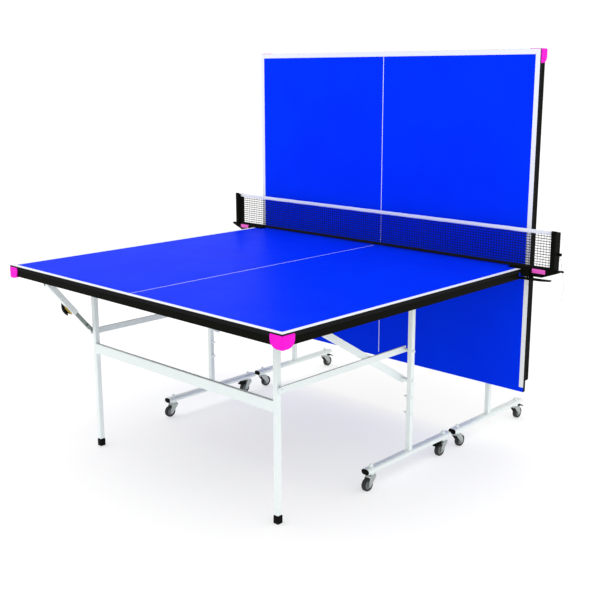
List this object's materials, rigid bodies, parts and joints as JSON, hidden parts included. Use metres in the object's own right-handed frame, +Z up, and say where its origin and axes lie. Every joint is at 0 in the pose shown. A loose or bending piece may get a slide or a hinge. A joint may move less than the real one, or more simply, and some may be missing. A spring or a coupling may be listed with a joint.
{
  "type": "ping pong table",
  "caption": "Folding ping pong table on casters with one half level, the other folded upright for solo play, and a clamped net.",
  "frame": {"origin": "centre of the bounding box's base, on the floor, with the net line at +Y of it", "axes": "+X across the table, +Y from the level half's playing end towards the upright half, +Z up"},
  "size_m": [1.867, 1.7167, 1.604],
  "materials": {
    "table_top": "satin blue laminate",
    "black_steel": "satin black",
    "white_steel": "powder coated",
    "pink_plastic": "satin",
    "black_plastic": "satin",
    "rubber": "matt",
    "zinc": "zinc plated",
    "grey_steel": "plated",
    "net": "woven mesh",
    "white_tape": "woven",
    "cord": "braided"
  },
  "bodies": {
    "near_stand": {"near_stand_l": "white_steel", "near_stand_r": "white_steel"},
    "near_top": {"near_board": "table_top", "near_rim": "black_steel", "near_corner_pad_l": "pink_plastic", "near_corner_pad_r": "pink_plastic", "net_mesh": "net", "net_tape": "white_tape", "net_post_l": "black_steel", "net_post_r": "black_steel", "net_cord": "cord"},
    "near_legs": {"near_leg_frame": "white_steel", "near_foot_l": "black_plastic", "near_foot_r": "black_plastic"},
    "near_links": {"near_link_l": "white_steel", "near_link_r": "white_steel"},
    "near_braces": {"near_brace_l": "white_steel", "near_brace_r": "white_steel"},
    "near_sleeve": {"near_lock_sleeve": "white_steel"},
    "near_rod": {"near_lock_rod": "grey_steel"},
    "near_handle": {"near_lock_handle": "black_plastic"},
    "far_stand": {"far_stand_l": "white_steel", "far_stand_r": "white_steel"},
    "far_top": {"far_board": "table_top", "far_rim": "black_steel", "far_corner_pad_l": "pink_plastic", "far_corner_pad_r": "pink_plastic"},
    "far_legs": {"far_leg_frame": "white_steel", "far_foot_l": "black_plastic", "far_foot_r": "black_plastic"},
    "far_links": {"far_link_l": "white_steel", "far_link_r": "white_steel"},
    "far_braces": {"far_brace_l": "white_steel", "far_brace_r": "white_steel"},
    "far_sleeve": {"far_lock_sleeve": "white_steel"},
    "far_rod": {"far_lock_rod": "grey_steel"},
    "far_handle": {"far_lock_handle": "black_plastic"},
    "near_caster_l_out": {"near_fork_l_out": "zinc"},
    "near_roller_l_out": {"near_wheel_l_out": "rubber"},
    "near_caster_l_net": {"near_fork_l_net": "zinc"},
    "near_roller_l_net": {"near_wheel_l_net": "rubber"},
    "near_pedal_l_net": {"near_brake_l_net": "black_plastic"},
    "near_caster_r_out": {"near_fork_r_out": "zinc"},
    "near_roller_r_out": {"near_wheel_r_out": "rubber"},
    "near_caster_r_net": {"near_fork_r_net": "zinc"},
    "near_roller_r_net": {"near_wheel_r_net": "rubber"},
    "near_pedal_r_net": {"near_brake_r_net": "black_plastic"},
    "far_caster_l_out": {"far_fork_l_out": "zinc"},
    "far_roller_l_out": {"far_wheel_l_out": "rubber"},
    "far_pedal_l_out": {"far_brake_l_out": "black_plastic"},
    "far_caster_l_net": {"far_fork_l_net": "zinc"},
    "far_roller_l_net": {"far_wheel_l_net": "rubber"},
    "far_caster_r_out": {"far_fork_r_out": "zinc"},
    "far_roller_r_out": {"far_wheel_r_out": "rubber"},
    "far_pedal_r_out": {"far_brake_r_out": "black_plastic"},
    "far_caster_r_net": {"far_fork_r_net": "zinc"},
    "far_roller_r_net": {"far_wheel_r_net": "rubber"},
    "clamp_l": {"net_clamp_l": "black_steel"},
    "clamp_r": {"net_clamp_r": "black_steel"}
  },
  "joints": [
    {"name": "near_fold", "type": "hinge", "parent": "near_stand", "child": "near_top", "pos_m": [0, 0.0195, 0.726], "axis": [-1, 0, 0], "range_deg": [0, 90]},
    {"name": "near_leg_turn", "type": "hinge", "parent": "near_top", "child": "near_legs", "pos_m": [0, -0.6365, 0.726], "axis": [1, 0, 0], "range_deg": [0, 90]},
    {"name": "near_link_turn", "type": "hinge", "parent": "near_stand", "child": "near_links", "pos_m": [0, 0.0195, 0.484], "axis": [-1, 0, 0], "range_deg": [0, 90]},
    {"name": "near_brace_turn", "type": "hinge", "parent": "near_stand", "child": "near_braces", "pos_m": [0, 0.0195, 0.366], "axis": [-1, 0, 0], "range_deg": [0, 58.65]},
    {"name": "near_lock_turn", "type": "hinge", "parent": "near_top", "child": "near_sleeve", "pos_m": [0, -0.8225, 0.709], "axis": [1, 0, 0], "range_deg": [0, 52.72]},
    {"name": "near_lock_slide", "type": "slide", "parent": "near_sleeve", "child": "near_rod", "axis": [0, 0.6371, -0.7707], "range_m": [0, 0.13661]},
    {"name": "far_roll", "type": "slide", "parent": "near_stand", "child": "far_stand", "axis": [0, 1, 0], "range_m": [0, 0.438]},
    {"name": "far_fold", "type": "hinge", "parent": "far_stand", "child": "far_top", "pos_m": [0, 0.5745, 0.726], "axis": [-1, 0, 0], "range_deg": [0, 90.02]},
    {"name": "far_leg_turn", "type": "hinge", "parent": "far_top", "child": "far_legs", "pos_m": [0, 0.5745, 1.382], "axis": [1, 0, 0], "range_deg": [0, 90.02]},
    {"name": "far_link_turn", "type": "hinge", "parent": "far_stand", "child": "far_links", "pos_m": [0, 0.5745, 0.484], "axis": [-1, 0, 0], "range_deg": [0, 90.02]},
    {"name": "far_brace_turn", "type": "hinge", "parent": "far_stand", "child": "far_braces", "pos_m": [0, 0.5745, 0.366], "axis": [-1, 0, 0], "range_deg": [0, 58.65]},
    {"name": "far_lock_turn", "type": "hinge", "parent": "far_top", "child": "far_sleeve", "pos_m": [0, 0.5915, 1.568], "axis": [1, 0, 0], "range_deg": [0, 52.72]},
    {"name": "far_lock_slide", "type": "slide", "parent": "far_sleeve", "child": "far_rod", "axis": [0, 0.0397, 0.9992], "range_m": [0, 0.13661]},
    {"name": "near_lock_release", "type": "hinge", "parent": "near_sleeve", "child": "near_handle", "pos_m": [0, -0.72317, 0.57314], "axis": [-1, 0, 0], "range_deg": [0, 35]},
    {"name": "far_lock_release", "type": "hinge", "parent": "far_sleeve", "child": "far_handle", "pos_m": [0, 0.59482, 1.39973], "axis": [1, 0, 0], "range_deg": [0, 35]},
    {"name": "near_swivel_l_out", "type": "hinge", "parent": "near_stand", "child": "near_caster_l_out", "pos_m": [-0.576, -0.2085, 0.06], "axis": [0, 0, 1], "continuous": true},
    {"name": "near_spin_l_out", "type": "hinge", "parent": "near_caster_l_out", "child": "near_roller_l_out", "pos_m": [-0.576, -0.2305, 0.025], "axis": [1, 0, 0], "continuous": true},
    {"name": "near_swivel_l_net", "type": "hinge", "parent": "near_stand", "child": "near_caster_l_net", "pos_m": [-0.576, 0.2475, 0.06], "axis": [0, 0, 1], "continuous": true},
    {"name": "near_spin_l_net", "type": "hinge", "parent": "near_caster_l_net", "child": "near_roller_l_net", "pos_m": [-0.576, 0.2255, 0.025], "axis": [1, 0, 0], "continuous": true},
    {"name": "near_brake_l_net", "type": "hinge", "parent": "near_caster_l_net", "child": "near_pedal_l_net", "pos_m": [-0.576, 0.23, 0.0545], "axis": [1, 0, 0], "range_deg": [0, 12]},
    {"name": "near_swivel_r_out", "type": "hinge", "parent": "near_stand", "child": "near_caster_r_out", "pos_m": [0.576, -0.2085, 0.06], "axis": [0, 0, 1], "continuous": true},
    {"name": "near_spin_r_out", "type": "hinge", "parent": "near_caster_r_out", "child": "near_roller_r_out", "pos_m": [0.576, -0.2305, 0.025], "axis": [1, 0, 0], "continuous": true},
    {"name": "near_swivel_r_net", "type": "hinge", "parent": "near_stand", "child": "near_caster_r_net", "pos_m": [0.576, 0.2475, 0.06], "axis": [0, 0, 1], "continuous": true},
    {"name": "near_spin_r_net", "type": "hinge", "parent": "near_caster_r_net", "child": "near_roller_r_net", "pos_m": [0.576, 0.2255, 0.025], "axis": [1, 0, 0], "continuous": true},
    {"name": "near_brake_r_net", "type": "hinge", "parent": "near_caster_r_net", "child": "near_pedal_r_net", "pos_m": [0.576, 0.23, 0.0545], "axis": [1, 0, 0], "range_deg": [0, 12]},
    {"name": "far_swivel_l_out", "type": "hinge", "parent": "far_stand", "child": "far_caster_l_out", "pos_m": [0.576, 0.8025, 0.06], "axis": [0, 0, 1], "continuous": true},
    {"name": "far_spin_l_out", "type": "hinge", "parent": "far_caster_l_out", "child": "far_roller_l_out", "pos_m": [0.576, 0.8245, 0.025], "axis": [1, 0, 0], "continuous": true},
    {"name": "far_brake_l_out", "type": "hinge", "parent": "far_caster_l_out", "child": "far_pedal_l_out", "pos_m": [0.576, 0.82, 0.0545], "axis": [-1, 0, 0], "range_deg": [0, 12]},
    {"name": "far_swivel_l_net", "type": "hinge", "parent": "far_stand", "child": "far_caster_l_net", "pos_m": [0.576, 0.3465, 0.06], "axis": [0, 0, 1], "continuous": true},
    {"name": "far_spin_l_net", "type": "hinge", "parent": "far_caster_l_net", "child": "far_roller_l_net", "pos_m": [0.576, 0.3685, 0.025], "axis": [1, 0, 0], "continuous": true},
    {"name": "far_swivel_r_out", "type": "hinge", "parent": "far_stand", "child": "far_caster_r_out", "pos_m": [-0.576, 0.8025, 0.06], "axis": [0, 0, 1], "continuous": true},
    {"name": "far_spin_r_out", "type": "hinge", "parent": "far_caster_r_out", "child": "far_roller_r_out", "pos_m": [-0.576, 0.8245, 0.025], "axis": [1, 0, 0], "continuous": true},
    {"name": "far_brake_r_out", "type": "hinge", "parent": "far_caster_r_out", "child": "far_pedal_r_out", "pos_m": [-0.576, 0.82, 0.0545], "axis": [-1, 0, 0], "range_deg": [0, 12]},
    {"name": "far_swivel_r_net", "type": "hinge", "parent": "far_stand", "child": "far_caster_r_net", "pos_m": [-0.576, 0.3465, 0.06], "axis": [0, 0, 1], "continuous": true},
    {"name": "far_spin_r_net", "type": "hinge", "parent": "far_caster_r_net", "child": "far_roller_r_net", "pos_m": [-0.576, 0.3685, 0.025], "axis": [1, 0, 0], "continuous": true},
    {"name": "net_clamp_open_l", "type": "hinge", "parent": "near_top", "child": "clamp_l", "pos_m": [-0.8, 0.477, 0.7255], "axis": [0, 1, 0], "range_deg": [0, 5]},
    {"name": "net_clamp_open_r", "type": "hinge", "parent": "near_top", "child": "clamp_r", "pos_m": [0.8, 0.477, 0.7255], "axis": [0, -1, 0], "range_deg": [0, 5]}
  ],
  "couplings": [
    {"joint": "near_leg_turn", "follows": "near_fold", "ratio": 1},
    {"joint": "near_link_turn", "follows": "near_fold", "ratio": 1},
    {"joint": "near_brace_turn", "follows": "near_fold", "ratio": 0.65143},
    {"joint": "near_lock_turn", "follows": "near_fold", "ratio": 0.5855},
    {"joint": "near_lock_slide", "follows": "near_fold", "m_per_rad": 0.086842},
    {"joint": "far_fold", "follows": "far_roll", "rad_per_m": 3.5863},
    {"joint": "far_leg_turn", "follows": "far_roll", "rad_per_m": 3.5863},
    {"joint": "far_link_turn", "follows": "far_roll", "rad_per_m": 3.5863},
    {"joint": "far_brace_turn", "follows": "far_roll", "rad_per_m": 2.3362},
    {"joint": "far_lock_turn", "follows": "far_roll", "rad_per_m": 2.0998},
    {"joint": "far_lock_slide", "follows": "far_roll", "ratio": 0.31144}
  ]
}
